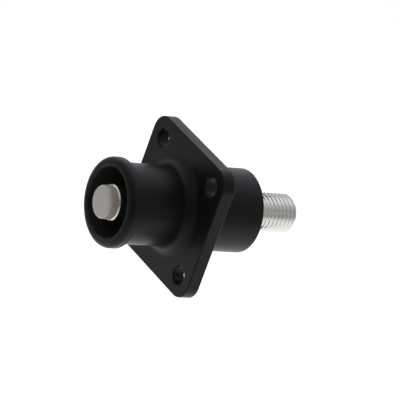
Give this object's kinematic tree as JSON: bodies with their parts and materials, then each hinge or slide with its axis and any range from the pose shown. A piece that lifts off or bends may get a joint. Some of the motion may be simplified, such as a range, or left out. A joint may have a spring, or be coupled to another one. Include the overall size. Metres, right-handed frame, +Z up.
{
  "type": "single-pole power receptacle",
  "caption": "Black panel-mount single-pole power receptacle: square flange, lipped round nose around a touch-safe silver pin, and a threaded terminal post behind.",
  "frame": {"origin": "centre of the four mounting holes, on the panel face of the flange", "axes": "+Y along the mating axis from the panel face to the threaded post, with the nose towards -Y; X and Z along the flange's edges, +Z up"},
  "size_m": [0.04, 0.0633, 0.04],
  "materials": {
    "housing_plastic": "black glass-filled nylon, semi-gloss",
    "contact_silver": "silver plate over copper, turned",
    "tip_plastic": "grey-white moulded plastic, satin",
    "seal_rubber": "black silicone rubber",
    "ring_steel": "spring steel, phosphated"
  },
  "bodies": {
    "root": {"housing": "housing_plastic", "contact_pin": "contact_silver", "touch_safe_tip": "tip_plastic", "contact_seal": "seal_rubber", "retaining_ring": "ring_steel", "panel_seal": "seal_rubber"}
  },
  "joints": []
}
